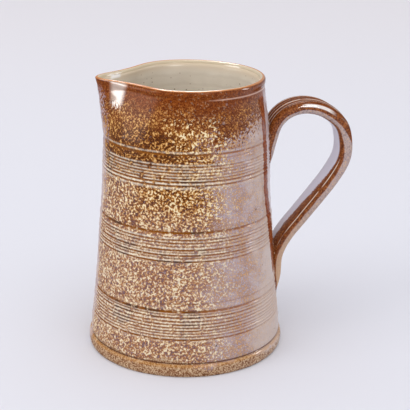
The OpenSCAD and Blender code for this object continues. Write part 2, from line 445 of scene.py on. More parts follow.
def reshape(shape, facts, **move):
    for name, value in facts.items():
        shape = Node(shape.tree, "GeometryNodeStoreNamedAttribute", {"data_type": "FLOAT"},
                     Geometry=shape, Name=name, Value=value)[0]
    return Node(shape.tree, "GeometryNodeSetPosition", Geometry=shape, **move)[0]


def finish_shape(shape, start, end):
    for kind, more in (("MergeByDistance", {"Distance": merge_gap}), ("SetShadeSmooth", {}),
                       ("RealizeInstances", {}), ("SetMaterial", {"Material": start["Finish"]})):
        shape = Node(shape.tree, "GeometryNode" + kind, Geometry=shape, **more)[0]
    wire(end["Geometry"], shape)


print("points closer than", merge_gap / mm, "mm are merged")

# %% The lathe tree
pulled_from_r = 35 * mm
lathe_inputs = {
    "Geometry": GEOMETRY, "Columns": 260, "Rows": 100,
    "Lip reach": 10.2 * mm, "Lip spread": 14.5, "Lip drop": 44 * mm, "Lip curve": 1.2,
    "Pinch depth": 7.0 * mm, "Pinch angle": 40.0, "Pinch spread": 26.0,
    "Height": jug_h, "Wobble": 0.25 * mm, "Crowding": 0.35, "Finish": MATERIAL,
}


def lip_pull_sum(start, section, row, angle):
    above = look_up(section, row, "pull") - start["Height"] + start["Lip drop"]
    share = calc("DIVIDE", above, start["Lip drop"], clamp=True)
    lip = group(finger_bump, Angle=angle, Spread=start["Lip spread"])[0]
    pinch = group(finger_bump, Angle=angle, Centre=start["Pinch angle"],
                  Spread=start["Pinch spread"])[0]
    out = lip * start["Lip reach"] - pinch * start["Pinch depth"]
    bead = look_up(section, row, "bead")
    out_bead = larger(bead, 0.0) * (1.0 - lip)
    return share ** start["Lip curve"] * out + (out_bead + calc("MINIMUM", bead, 0.0))


def wobble(tree, start):
    here = position(tree)
    x, y, z = axes(here)
    size = fade_mm(z, 14, 40) * fade_mm(z, 196, 150) * start["Wobble"]
    push = (noise(here, 16.0, 1.0) - 0.5) * size
    flat = Node(tree, "ShaderNodeCombineXYZ", X=x, Y=y)[0]
    out = Node(tree, "ShaderNodeVectorMath", {"operation": "NORMALIZE"}, Vector=flat)[0]
    return Node(tree, "ShaderNodeVectorMath", {"operation": "SCALE"}, Vector=out, Scale=push)[0]


def lathe_tree():
    tree, start, end = new_tree("Turn on the wheel", "GeometryNodeTree", lathe_inputs, ["Geometry"])
    section = start["Geometry"]
    shape, row, turn = grid_of_rows(tree, start)
    around = turn - calc("SINE", turn) * start["Crowding"]
    angle = abs(around * (180 / math.pi))
    spot = axes(look_up(section, row, kind="FLOAT_VECTOR"))
    pulled = calc("GREATER_THAN", spot["X"], pulled_from_r)
    reach = spot["X"] + lip_pull_sum(start, section, row, angle) * pulled
    place = Node(tree, "ShaderNodeCombineXYZ", X=calc("COSINE", around) * -reach,
                 Y=calc("SINE", around) * -reach, Z=spot["Z"])[0]
    facts = {name: look_up(section, row, name) for name in ("groove", "ridge", "rim")}
    shape = reshape(shape, facts, Position=place)
    finish_shape(reshape(shape, {}, Offset=wobble(tree, start)), start, end)
    return tree


wheel = lathe_tree()
print("tree:", wheel.name, "with", len(wheel.nodes), "nodes")

# %% [markdown]
# ## From a tree to a plain mesh
# The export wants finished meshes, so each tree is run once on its own small object, and the
# result is kept as a plain mesh on a new object at the origin. The signed volume says whether
# the faces point outwards.

# %% Run a tree and keep its mesh
in_ml = 1e6


def face_outwards(mesh):
    work = bmesh.new()
    work.from_mesh(mesh)
    volume = work.calc_volume(signed=True)
    work.free()
    if volume < 0:
        mesh.flip_normals()
    return abs(volume)


def run_tree(source, tree, name, values):
    work = source.modifiers.new("make", "NODES")
    work.node_group = tree
    for item in tree.interface.items_tree:
        if item.in_out == "INPUT" and item.name in values:
            work[item.identifier] = values[item.name]
    source.update_tag()
    bpy.context.view_layer.update()
    evaluated = source.evaluated_get(bpy.context.evaluated_depsgraph_get())
    mesh = bpy.data.meshes.new_from_object(evaluated)
    source.modifiers.remove(work)
    bpy.data.objects.remove(source)
    mesh.name = name
    print(name, len(mesh.polygons), "faces,", round(face_outwards(mesh) * in_ml, 1), "ml")
    return new_piece(name, mesh)


def settle(piece, *nodes, slot):
    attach(piece, "root")
    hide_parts(*nodes)


# %% [markdown]
# ## Finishes
# In a salt kiln the vapour of salt turns the clay's own skin to glass. It beads up into an
# orange peel: pale blobs with dark seams between them, and here and there a speck of iron. An
# image of that would not hold up close, so it is made from noise on the piece's own
# coordinates. What several finishes share is a group of nodes, built once, and every single
# colour has a name in a list of tints.

# %% Colour helpers
# Some tints are painted light. The pale patch in the finger marks, the line under the rim, the glint
# inside the lip, and the strap's corner, shoulder and finger-groove lines are painted highlights and
# reflections. The darker strap back is painted shade. The lilac, the pale handle side and the strap's
# underside are partly painted reflections, and the ochre line on the foot bead is partly a painted
# highlight.
tints = {
    "salt fleck": (168, 158, 168), "lilac cloud": (198, 186, 194), "bare skin": (206, 188, 176),
    "cream ridge": (239, 228, 208), "cold pool": (84, 57, 42), "warm pool": (134, 78, 24),
    "grey side pool": (146, 84, 36), "foot pool": (196, 136, 58), "foot groove": (88, 48, 30),
    "finger mark": (228, 214, 198), "lilac": (206, 192, 198), "rim edge": (226, 188, 168),
    "rim outside": (196, 126, 66), "rim inside": (210, 194, 166), "window": (244, 242, 240),
    "speck halo": (206, 196, 196), "wall speck": (66, 56, 66), "liner speck": (136, 98, 72),
    "throwing ring": (206, 194, 174), "thin liner": (216, 198, 172), "top side": (206, 166, 124),
    "wiped back": (74, 32, 12), "underside": (218, 215, 226), "strap corner": (240, 226, 208),
    "finger line": (226, 208, 194), "shoulder": (246, 240, 234), "strap speck": (74, 62, 66),
    "near paper": (222, 223, 230), "far paper": (226, 224, 228),
}


def ink(red, green, blue):
    linear = []
    for part in (red, green, blue):
        part = part / 255
        linear.append(part / 12.92 if part <= 0.04045 else ((part + 0.055) / 1.055) ** 2.4)
    return (*linear, 1.0)


def ramp(value, stops):
    node = Node(value.tree, "ShaderNodeValToRGB")
    points = node.node.color_ramp.elements
    while len(points) < len(stops):
        points.new(0.5)
    for point, (place, colour) in zip(points, stops):
        point.position = place
        point.color = ink(*colour)
    wire(node.node.inputs[0], value)
    return node[0]


def blend(share, a, b):
    mix = Node(share.tree, "ShaderNodeMix", {"data_type": "RGBA"})
    for k, value in ((0, share), (6, a), (7, b)):
        wire(mix.node.inputs[k], value)
    return mix[2]


def paint(colour, share, tint, most=1.0):
    return blend(share * most, colour, ink(*tints[tint]))


print(len(tints), "tints named")

# %% The orange peel and the iron specks


def orange_peel_group():
    tree, start, end = new_tree("Orange peel", "ShaderNodeTree",
                                {"Place": VECTOR, "Size": 1.4, "Strength": 1.0},
                                ["Blobs", "Height"])
    fine = in_mm / start["Size"]
    worm = noise(start["Place"], fine, 1.2, Roughness=0.45, Distortion=0.5)
    both = worm * 0.8 + noise(start["Place"], fine * 0.27, 1.0) * 0.2
    spread = (both - 0.5) * start["Strength"]
    wire(end["Blobs"], calc("MULTIPLY_ADD", spread, 3.2, 0.5, clamp=True))
    wire(end["Height"], both)
    return tree


def iron_specks_group():
    tree, start, end = new_tree("Iron specks", "ShaderNodeTree",
                                {"Place": VECTOR, "Spacing": 4.0, "Size": 0.1, "Share": 0.3},
                                ["Speck", "Halo"])
    cells = Node(tree, "ShaderNodeTexVoronoi", Vector=start["Place"],
                 Scale=in_mm / start["Spacing"])
    lot = Node(tree, "ShaderNodeSeparateColor", Color=cells["Color"])
    keep = calc("LESS_THAN", lot[0], start["Share"])
    size = start["Size"] * (lot[1] * 0.9 + 0.4)
    gap = cells["Distance"]
    wire(end["Speck"], fade(gap, size * 1.15, size * 0.6) * keep)
    wire(end["Halo"], fade(gap, size * 2.4, size) * keep * calc("LESS_THAN", lot[2], 0.4))
    return tree


orange_peel = orange_peel_group()
iron_specks = iron_specks_group()
print("groups:", orange_peel.name, "and", iron_specks.name)

# %% [markdown]
# ## Where the flame ran
# The kiln paints by place: iron red over the top, tan low down, grey on the side away from the
# flame and a lilac flash below the lip. Painted light is mixed in: a brown strip on the wall beside
# the handle is a painted reflection of the handle, and the wall behind it is painted pale lilac as a
# reflection of the room at a grazing angle. The lilac below the lip and the pale band on the
# handle side are partly such painted reflections too. A mask with a straight edge would look
# printed, so heights and sides are first shifted by a slow and a ragged noise.

# %% The zones, one by one


def iron_zone(x, high, side):
    over_hill = high - (x * 0.3 + 157 * mm)
    iron = fade_mm(side, 0, 22) * fade_mm(over_hill, -9, 11)
    iron = larger(iron, fade_mm(high, 162, 184))
    return larger(iron, fade_mm(side, -44, -62) * fade_mm(high, 150, 172))


def tan_zone(high, side):
    lip_side = fade_mm(side, -32, -58) * fade_mm(high, 146, 132)
    return larger(lip_side, fade_mm(high, 128, 90))


# A brown strip on the wall beside the handle is a painted reflection of the handle. The wall behind
# it, towards the handle, is painted pale as a reflection of the room at a grazing angle.
def handle_reflection_zones(spot, high, ragged):
    turn = ragged * 0.05 + calc("ARCTAN2", abs(spot["Y"]), spot["X"])
    near_edge = fade_mm(spot["Z"], 60, 125, 0.15, 0.44, soft=False)
    far_edge = fade_mm(spot["Z"], 60, 125, 0.4, 0.58, soft=False)
    inward = fade(turn - near_edge, -0.02, 0.02)
    strip = inward * fade(far_edge - turn, -0.02, 0.02)
    strip = strip * fade_mm(high, 52, 64) * fade_mm(high, 192, 184)
    return strip, (1.0 - inward) * fade_mm(high, 94, 112)


# The lilac strip below the lip is partly the glaze's own lilac flash and partly a painted reflection
# of the pale room at a grazing angle.
def below_lip(spot, drift, ragged):
    off_middle = ragged * (12 * mm) + abs(drift * (26 * mm) + spot["Y"])
    return fade_mm(spot["X"], -30, -40) * fade_mm(off_middle, 18, -6)


zone_names = ["Iron", "Grey", "Low", "Foot", "PaleSide", "HandleReflection", "LilacAndReflection", "Top", "Shade"]
print("zones:", ", ".join(zone_names))

# %% All zones in one group


def fire_flash_group():
    tree, start, end = new_tree("Fire flashing", "ShaderNodeTree", {"Place": VECTOR}, zone_names)
    spot = axes(start["Place"])
    drift = noise(start["Place"], 26.0, 2.0) - 0.5
    ragged = noise(start["Place"], 150.0, 3.0) - 0.5
    high = ragged * (8 * mm) + (drift * (22 * mm) + spot["Z"])
    side = ragged * (16 * mm) + (drift * (30 * mm) + spot["X"])
    streak, grazing_reflection = handle_reflection_zones(spot, high, ragged)
    wire(end["Iron"], iron_zone(spot["X"], high, side))
    wire(end["Grey"], fade_mm(side, -6, 34, soft=False))
    wire(end["Low"], tan_zone(high, side))
    wire(end["Foot"], fade_mm(high, 11, 7))
    # The wall is painted paler towards the handle side: partly its pale grey glaze, partly a painted
    # reflection of the room at a grazing angle.
    wire(end["PaleSide"], fade_mm(side, 32, 54))
    wire(end["HandleReflection"], streak)
    wire(end["LilacAndReflection"], larger(grazing_reflection, below_lip(spot, drift, ragged)))
    wire(end["Top"], fade_mm(high, 178, 190))
    wire(end["Shade"], fade_mm(side, -4, -32) * fade_mm(high, 122, 158))
    return tree


fire_flash = fire_flash_group()
print("group:", fire_flash.name)

# %% [markdown]
# ## The outside of the jug
# Each zone has a ramp from the dark of a seam to the pale of a blob: ochre on the upper wall,
# a pinker tan below, lilac grey on the handle side, red-brown at the top, and browns for the foot
# bead and for the painted reflection of the handle beside it. A plain blend would give a soft
# border, which no kiln makes, so the share is dithered by the blobs: a seam goes over to the next
# colour first.

# %% Skins, ramps and the dither
skin_shine = 0.02


def new_material(name):
    material = bpy.data.materials.new(name)
    material.use_nodes = True
    material.node_tree.nodes.clear()
    return material, Node(material.node_tree, "ShaderNodeTexCoord")["Object"]


def glass_skin(colour, rough, normal, coat=0.55, coat_rough=0.13):
    shader = Node(colour.tree, "ShaderNodeBsdfPrincipled", Base_Color=colour, Roughness=rough,
                  Normal=normal, Coat_Weight=coat, Coat_Roughness=coat_rough,
                  Specular_IOR_Level=skin_shine)
    Node(colour.tree, "ShaderNodeOutputMaterial", Surface=shader[0])


def relief(height, strength, depth_mm):
    return Node(height.tree, "ShaderNodeBump", Strength=strength, Distance=depth_mm * mm,
                Height=height)[0]


def fact(place, name):
    return Node(place.tree, "ShaderNodeAttribute", {"attribute_name": name})["Fac"]


def dither(share, blobs, spread):
    return fade((0.5 - blobs) * spread + share, 0.3, 0.7)


ochre_stops = [(0.08, (78, 40, 16)), (0.34, (124, 70, 27)), (0.54, (174, 116, 56)),
               (0.74, (214, 168, 102)), (0.95, (242, 226, 186))]
tan_stops = [(0.04, (116, 92, 96)), (0.26, (150, 97, 64)), (0.5, (176, 127, 87)),
             (0.7, (207, 171, 129)), (0.95, (236, 221, 190))]
grey_stops = [(0.05, (190, 176, 182)), (0.28, (163, 140, 142)), (0.52, (170, 142, 133)),
              (0.66, (184, 132, 88)), (0.92, (208, 168, 124))]
iron_stops = [(0.1, (92, 42, 17)), (0.45, (118, 62, 27)), (0.72, (142, 82, 38)),
              (0.95, (198, 140, 74))]
# Brown of the painted reflection of the handle on the wall beside it.
handle_reflection_stops = [(0.1, (116, 50, 18)), (0.5, (136, 64, 25)), (0.9, (156, 86, 44))]
bead_stops = [(0.1, (98, 42, 12)), (0.5, (124, 60, 18)), (0.9, (146, 78, 30))]
foot_stops = [(0.1, (118, 76, 50)), (0.45, (160, 118, 84)), (0.85, (206, 178, 144))]
print("seven ramps for the outside")

# %% The wall's colour and the comb


def salt_wall_colour(place):
    peel = group(orange_peel, Place=place, Size=1.5, Strength=1.2)
    fine = group(orange_peel, Place=place, Size=1.0, Strength=1.05)["Blobs"]
    flash = group(fire_flash, Place=place)
    blobs = peel["Blobs"]
    ochre = ramp(flash["Shade"] * -0.27 + blobs, ochre_stops)
    tan = paint(ramp(blobs, tan_stops), fade(fine, 0.8, 0.92), "salt fleck", 0.55)
    cloud = fade(noise(place, 75.0, 3.0), 0.48, 0.66)
    grey = paint(ramp(fine, grey_stops), cloud, "lilac cloud", 0.3)
    # Paint the paler handle side, partly a painted reflection of the room.
    grey = paint(grey, flash["PaleSide"], "bare skin", 0.75)
    iron = blend(flash["Top"], ramp(fine, iron_stops), ramp(fine, bead_stops))
    colour = blend(flash["Low"], ochre, tan)
    colour = blend(dither(flash["Grey"], (blobs + fine) * 0.5, 0.9), colour, grey)
    colour = blend(dither(flash["Iron"], blobs, 0.8), colour, iron)
    colour = blend(flash["Foot"], colour, ramp(fine, foot_stops))
    return colour, peel, flash


def comb_glaze(place, colour, flash):
    streak = noise(place, 240.0, 2.0)
    ridge = fact(place, "ridge") * fade(streak, 0.3, 0.55)
    ridge = ridge * dimmed(flash["Grey"], 0.75) * dimmed(flash["Low"], 0.2)
    colour = paint(colour, ridge, "cream ridge")
    deep = calc("MULTIPLY", fact(place, "groove"), 2.8, clamp=True) * fade(streak, 0.2, 0.5)
    deep = deep ** 1.3 * dimmed(flash["PaleSide"], 0.75) * dimmed(flash["Grey"], 0.25)
    patch = fade(noise(place, 70.0, 1.0), 0.38, 0.5)
    pool = blend(patch, ink(*tints["cold pool"]), ink(*tints["warm pool"]))
    pool = paint(pool, flash["Grey"], "grey side pool")
    return blend(deep, colour, pool)


print("comb glaze: cream on the ridges, pools in the grooves")

# %% [markdown]
# ## Painted highlights on the outside
# The thrower's fingers pinched the wall beside the lip. A pale highlight is painted in both
# marks, a glint is painted inside the lip, and a highlight is painted along a thin ridge under
# the rim: lamps alone left these dull, so they are painted as soft patches. The coat of clear
# glass is deep on the handle side, on the rim's crest and in the marks, and thinner over the comb.

# %% Painted highlights in the finger marks and inside the lip, and depth of the coat


# Mask of the pinch marks beside the lip: a pale highlight is painted there, and the coat is deep
# there.
def finger_highlight_mask(spot, blobs):
    x, z = spot["X"], spot["Z"]
    lean = (195 * mm - z) * 0.27 + x
    mark = fade_mm(lean, -42.5, -46.5) * fade_mm(x, -55.5, -51.5)
    return mark * fade_mm(blobs * (5 * mm) + z, 181, 187)


# Mask of a painted glint inside the lip, where a lamp shows in the glaze.
def lip_glint_mask(spot, blobs):
    x, y, z = spot
    wide = fade_mm(x, -53, -51) * fade_mm(x, -44, -46)
    tall = fade_mm(z, 193, 194) * fade_mm(z, 197, 196)
    return wide * (tall * fade_mm(y, 7, 9)) * fade(blobs, 0.35, 0.5, 0.2, 0.8)


def glaze_depth(spot, lap, mark):
    x, y, z = spot
    thick = fade_mm(x, 4, 40, 0.04, 0.7)
    for low, high in comb_bands:
        inside = fade_mm(z, low - 1, low + 1) * fade_mm(z, high + 1, high - 1)
        thick = thick * dimmed(inside, 0.7)
    crest = fade(lap, 0.02, 0.1) * fade(lap, 0.75, 0.58) * fade_mm(y, 12, -12, 0.05, 1.0)
    return larger(larger(thick, mark), crest)


print("three masks for the marks and the coat")

# %% Foot, handle side and rim


def foot_glaze(z, colour):
    # An ochre line on the top of the foot bead: partly the glaze's colour, partly a painted
    # highlight.
    pool = fade_mm(z, 6.6, 8.4) * fade_mm(z, 9.6, 9.0)
    colour = paint(colour, pool, "foot pool", 0.4)
    return paint(colour, fade_mm(abs(z - 9.9 * mm), 0.9, 0.3), "foot groove", 0.8)


def lilac_and_reflections(z, colour, blobs, flash):
    # Paint lilac below the lip and behind the brown strip: partly the glaze's own lilac, partly a
    # painted reflection of the pale room.
    lilac = dither(flash["LilacAndReflection"], blobs, 0.5) * fade_mm(z, 196, 184, 0.0, 0.6)
    colour = paint(colour, lilac, "lilac")
    # Paint the brown reflection of the handle on the wall beside it.
    return blend(dither(flash["HandleReflection"], blobs, 0.2), colour, ramp(blobs, handle_reflection_stops))


def rim_glaze(spot, colour, blobs, lap):
    x, y, z = spot
    # A thin pale line on the ridge under the rim is a painted highlight.
    under_rim_highlight = fade_mm(abs(z - 191.6 * mm), 0.7, 0.2) * fade_mm(x, 4, 20)
    colour = paint(colour, under_rim_highlight, "rim edge", 0.6)
    early = fade_mm(y, -20, -40) * fade_mm(x, -26, -12) * fade_mm(x, 42, 30, 0.0, 0.22)
    late = lap - fade_mm(y, -10, 20, 0.0, 0.16) + early
    colour = paint(colour, fade(lap, 0.08, 0.3), "rim outside")
    colour = paint(colour, fade(late, 0.64, 0.8), "rim inside")
    # Paint the glint inside the lip on the jug's inner rim.
    return paint(colour, lip_glint_mask(spot, blobs) * fade(lap, 0.6, 0.75), "window")


def wall_specks(place, colour, flash):
    specks = group(iron_specks, Place=place, Spacing=6.0, Size=0.11, Share=0.3)
    colour = paint(colour, specks["Halo"] * (flash["Grey"] * 0.5), "speck halo")
    return paint(colour, specks["Speck"], "wall speck", 0.85)


def salt_glaze_outside():
    material, place = new_material("Salt glaze, outside")
    spot = axes(place)
    colour, peel, flash = salt_wall_colour(place)
    blobs = peel["Blobs"]
    colour = foot_glaze(spot["Z"], comb_glaze(place, colour, flash))
    mark = finger_highlight_mask(spot, blobs)
    # Paint the pale highlight in the finger marks.
    colour = paint(colour, mark, "finger mark", 0.55)
    colour = lilac_and_reflections(spot["Z"], colour, blobs, flash)
    lap = fact(place, "rim")
    colour = rim_glaze(spot, colour, blobs, lap)
    colour = wall_specks(place, colour, flash)
    glass_skin(colour, 0.4, relief(peel["Height"], 0.4, 0.3), glaze_depth(spot, lap, mark))
    return material


outside_finish = salt_glaze_outside()
print("finish:", outside_finish.name)

# %% [markdown]
# ## The lining
# A pale liner glaze was poured in and out again. It is smooth putty grey with small brown specks
# from the clay and faint throwing rings, and warmer where it thins at the rim. It could be part
# of the jug's own mesh, but a skin of its own keeps a clean edge on the rim.

# %% Liner glaze
liner_stops = [(0.3, (225, 215, 198)), (0.7, (235, 226, 210))]


def liner_finish():
    material, place = new_material("Liner glaze, putty")
    spot = axes(place)
    cloud = noise(place, 60.0, 3.0)
    specks = group(iron_specks, Place=place, Spacing=3.0, Size=0.16, Share=0.5)
    colour = paint(ramp(cloud, liner_stops), specks["Speck"], "liner speck", 0.7)
    ring = fade(calc("SINE", spot["Z"] * 900.0 + cloud * 5.0), 0.2, 1.0, 0.0, 0.22)
    colour = paint(colour, ring, "throwing ring")
    colour = paint(colour, fade_mm(spot["Z"], 188, 196.4), "thin liner")
    # Paint the glint inside the lip on the liner.
    colour = paint(colour, lip_glint_mask(spot, cloud), "window")
    glass_skin(colour, 0.5, relief(cloud, 0.3, 0.3), 0.3, 0.3)
    return material


lining_finish = liner_finish()
print("finish:", lining_finish.name)

# %% Turn the jug and its lining
jug_body = run_tree(section_object(jug_rows), wheel, "jug_body",
                    {"Rows": len(jug_rows), "Finish": outside_finish})
settle(jug_body, "thrown_body", slot="salt_glazed_body")
glaze_t = 0.8 * mm
glaze_edge_t = 0.3 * mm
glaze_edge_drop = 0.2 * mm
hair = 0.03 * mm
lining_top_z = jug_h - 2.2 * mm
thin_from_z = 172 * mm
thinned_by = 0.4 * mm


def lining_rows():
    inner = inside_rows(glaze_t)
    for row in inner:
        share = max(0.0, (row["z"] - thin_from_z) / (wall_top_z - thin_from_z))
        row["r"] += thinned_by * share ** 2
    edge_r = rim_r + rim_bead_out - rim_t
    thin = dict(r=edge_r - glaze_edge_t, z=lining_top_z - glaze_edge_drop, pull=jug_h)
    edge = dict(r=edge_r - hair, z=lining_top_z, pull=jug_h)
    return inner[::-1] + [thin, edge] + inside_rows(hair)


glaze_rows = lining_rows()
glaze_lining = run_tree(section_object(glaze_rows), wheel, "glaze_lining",
                        {"Rows": len(glaze_rows), "Wobble": 0.0, "Columns": 224,
                         "Finish": lining_finish})
settle(glaze_lining, "liner_glaze", slot="liner_glaze")

# %% [markdown]
# ## The pulled handle
# A potter pulls a strap from a lump of clay with wet fingers, which leaves two shallow grooves
# along its back, then sticks it on, lets it droop in a curve and wipes both ends on to the wall.
# A bevelled curve would keep one section all the way, so this tree sweeps a section that changes:
# each row of a grid looks up the middle of the strap, its back direction, its half width, its
# half thickness and how deep the fingers went.

# %% The strap's path
strap_path = [
    (0.667, -0.115), (0.740, -0.045), (0.811, 0.004), (0.917, 0.101), (0.982, 0.273),
    (1.005, 0.502), (0.979, 0.735), (0.900, 0.932), (0.793, 0.987),
    (0.688, 0.957), (0.577, 0.818), (0.465, 0.617), (0.341, 0.374),
    (0.229, 0.163), (0.122, 0.036), (0.000, -0.012), (-0.096, -0.085),
]
strap_climb, strap_reach = zip(*strap_path)
handle_top_z = 174 * mm
handle_low_z = 50 * mm
handle_out = 55.7 * mm
strap_ends_t = 9.1 * mm
strap_belly = 1.5 * mm
strap_half_w = 12.5
strap_flare = 2
end_share = 0.16
finger_deep = 0.9 * mm
squareness = 0.62
finger_place = 0.36
finger_spread = 0.2
strap_rows = 150
small_step = 0.003


def strap_mid(share):
    z = handle_low_z + (handle_top_z - handle_low_z) * smooth_curve(strap_climb, share)
    return wall_r(z) + handle_out * smooth_curve(strap_reach, share), z


def strap_row(share):
    x, z = strap_mid(share)
    x2, z2 = strap_mid(min(1, share + small_step))
    x1, z1 = strap_mid(max(0, share - small_step))
    long = math.hypot(x2 - x1, z2 - z1)
    ends = bell(share, end_share) + bell(1 - share, end_share)
    thick = strap_ends_t + strap_belly * math.sin(math.pi * share) ** 2
    return dict(place=(x, 0, z), back=(-(z2 - z1) / long, 0, (x2 - x1) / long),
                half_w=(strap_half_w + strap_flare * ends) * mm, half_t=thick / 2,
                deep=finger_deep * (1 - ends), along=share)


strap = [strap_row(i / (strap_rows - 1)) for i in range(strap_rows)]
print("the strap reaches out to", round(max(r["place"][0] for r in strap) / mm, 1), "mm")

# %% The tree that pulls the strap


def squared(wave, power):
    return calc("SIGN", wave) * abs(wave) ** power


def strap_tree():
    tree, start, end = new_tree(
        "Pull a strap", "GeometryNodeTree",
        {"Geometry": GEOMETRY, "Rows": strap_rows, "Columns": 97, "Squareness": squareness,
         "Finger place": finger_place, "Finger spread": finger_spread, "Finish": MATERIAL},
        ["Geometry"])
    line = start["Geometry"]
    shape, row, turn = grid_of_rows(tree, start)
    across = squared(calc("COSINE", turn), start["Squareness"])
    thick = squared(calc("SINE", turn), start["Squareness"])
    near_dent, far_dent = (
        group(finger_bump, Angle=across, Centre=centre, Spread=start["Finger spread"])[0]
        for centre in (start["Finger place"], -start["Finger place"]))
    dent = (near_dent + far_dent) * look_up(line, row, "deep") * calc("GREATER_THAN", thick, 0.0)
    lift = thick * look_up(line, row, "half_t") - dent
    back = axes(look_up(line, row, "back", "FLOAT_VECTOR"))
    middle = axes(look_up(line, row, kind="FLOAT_VECTOR"))
    place = Node(tree, "ShaderNodeCombineXYZ", X=middle["X"] + back["X"] * lift,
                 Y=across * look_up(line, row, "half_w"), Z=middle["Z"] + back["Z"] * lift)[0]
    facts = {"across": across, "thick": thick, "along": look_up(line, row, "along")}
    finish_shape(reshape(shape, facts, Position=place), start, end)
    return tree


pulling = strap_tree()
print("tree:", pulling.name, "with", len(pulling.nodes), "nodes")

# %% [markdown]
# ## The handle's glaze
# The strap's back was wiped and is red-brown, a little darker by painted shade, with thin pale
# lines beside the finger grooves that are painted reflections. Low down it turns grey, and its
# underside is lilac on the far half, painted pale partly as a reflection of the floor. The tree
# stores where each point lies along, across and through the strap, so every mask is a fade on
# those three. The bright corner and shoulder are painted highlights, like those at the lip.

# %% Zones, painted highlights and painted reflections of the strap
strap_brown = [(0.1, (82, 37, 13)), (0.5, (127, 65, 25)), (0.9, (164, 100, 50))]
strap_grey = [(0.1, (150, 128, 124)), (0.55, (184, 164, 160)), (0.95, (204, 170, 140))]


def strap_zones(along, across, thick, drift, blobs):
    ragged = drift * 0.3 - 0.15
    through = thick + ragged
    back_edge = fade(along, 0.42, 0.58, -0.2, 1.5)
    inner_edge = fade(along, 0.1, 0.35, -0.85, -0.76) + fade(along, 0.35, 0.65, 0.0, 0.6)
    side = fade(back_edge - through, -0.05, 0.08) * fade(through - inner_edge, -0.05, 0.08)
    far_half = fade(along, 0.42, 0.86, 1.0, 0.1) - (ragged - across)
    # The underside is painted pale lilac: partly its own colour, partly a painted reflection of the
    # floor.
    under = fade(-thick, 0.86, 0.93) * dither(fade(far_half, -0.18, 0.22), blobs, 0.7)
    return side, under


def strap_marks(x, along, across, thick, drift, on_back, colour):
    far = abs(across)
    # A pale glint is painted along the strap's inner corner, low down.
    corner = fade(abs(far * 0.8 + thick), 0.07, 0.02) * fade(along, 0.55, 0.6)
    corner = corner * fade(along, 0.86, 0.8) * fade(drift, 0.36, 0.48)
    colour = paint(colour, corner, "strap corner")
    # Thin pale lines beside the finger grooves on the back are painted reflections.
    gap = calc("MINIMUM", abs(far - 0.2), abs(far - 0.6))
    line = fade(gap, 0.045, 0.015) * on_back * fade(drift, 0.2, 0.4)
    colour = paint(colour, line, "finger line", 0.8)
    # A pale highlight is painted on the strap's near shoulder.
    shoulder = fade(abs(thick - 0.42), 0.26, 0.14) * fade(far, 0.86, 0.95)
    shoulder = shoulder * fade_mm(x, 79, 84) * fade_mm(x, 106, 99) * fade(along, 0.5, 0.45)
    return paint(colour, shoulder, "shoulder", 0.85)


print(len(strap_brown), "browns and", len(strap_grey), "greys for the strap")

# %% Salt glaze for the handle and its joints


def handle_finish():
    material, place = new_material("Salt glaze, handle")
    fine = group(orange_peel, Place=place, Size=1.0, Strength=0.8)
    drift = noise(place, 90.0, 3.0)
    along, across, thick = (fact(place, name) for name in ("along", "across", "thick"))
    side, under = strap_zones(along, across, thick, drift, fine["Blobs"])
    on_back = fade(thick, 0.5, 0.7)
    # The strap's back, which faces up, is painted a little darker: painted shade.
    brown = paint(ramp(fine["Blobs"], strap_brown), on_back, "wiped back", 0.15)
    grey = ramp(fine["Blobs"], strap_grey)
    grey = paint(grey, fade(along, 0.62, 0.95, 0.0, 0.7), "top side")
    # Paint the pale underside, partly a painted reflection of the floor.
    colour = paint(blend(side, brown, grey), under, "underside")
    colour = strap_marks(axes(place)["X"], along, across, thick, drift, on_back, colour)
    specks = group(iron_specks, Place=place, Spacing=5.0, Size=0.09, Share=0.3)
    colour = paint(colour, specks["Speck"], "strap speck", 0.8)
    coat = (under * -0.4 + 0.55) * dimmed(on_back, 0.97)
    glass_skin(colour, 0.35, relief(fine["Height"], 0.25, 0.2), coat, 0.05)
    return material


def joint_finish():
    material, place = new_material("Salt glaze, wiped slip")
    fine = group(orange_peel, Place=place, Size=1.0, Strength=0.8)
    glass_skin(ramp(fine["Blobs"], strap_brown), 0.35, relief(fine["Height"], 0.3, 0.2))
    return material


strap_finish = handle_finish()
slip_finish = joint_finish()
print("finishes:", strap_finish.name, "and", slip_finish.name)

# %% [markdown]
# ## Pressing the ends on to the wall
# The swept strap runs on into the wall at both ends. On the real jug its ends are pressed flat
# there and become one with the clay. So every point that has gone more than a millimetre and a
# half below the wall's skin is brought back out to that depth, which leaves the inside clean.

# %% Sweep the strap and press its ends
end_depth = 1.5 * mm


def press_on(mesh, depth):
    moved = 0
    for point in mesh.vertices:
        x, y, z = point.co
        wall = wall_r(z) - depth
        out = math.hypot(x, y)
        if out < wall:
            point.co = (x * wall / out, y * wall / out, z)
            moved += 1
    mesh.update()
    return moved


def close_ends(mesh):
    work = bmesh.new()
    work.from_mesh(mesh)
    rims = [edge for edge in work.edges if edge.is_boundary]
    bmesh.ops.holes_fill(work, edges=rims, sides=0)
    work.to_mesh(mesh)
    work.free()
    return len(rims)


pulled_handle = run_tree(line_object("strap", strap, ("half_w", "half_t", "deep", "along", "back")),
                         pulling, "pulled_handle", {"Rows": strap_rows, "Finish": strap_finish})
print("edges closed:", close_ends(pulled_handle.data))
print("points pressed on to the wall:", press_on(pulled_handle.data, end_depth))
settle(pulled_handle, "handle_strap", slot="salt_glazed_handle")

# %% [markdown]
# ## The wiped joints
# Where the strap meets the wall, slip squeezes out and a wet finger wipes it to a hollow curve.
# A modelled fillet would need a boolean, so each joint is a ring that follows the line where the
# strap's sides cross the wall. Its visible side is a hollow curve from the wall to the strap,
# and its back is sunk into both.

# %% Find where the strap crosses the wall


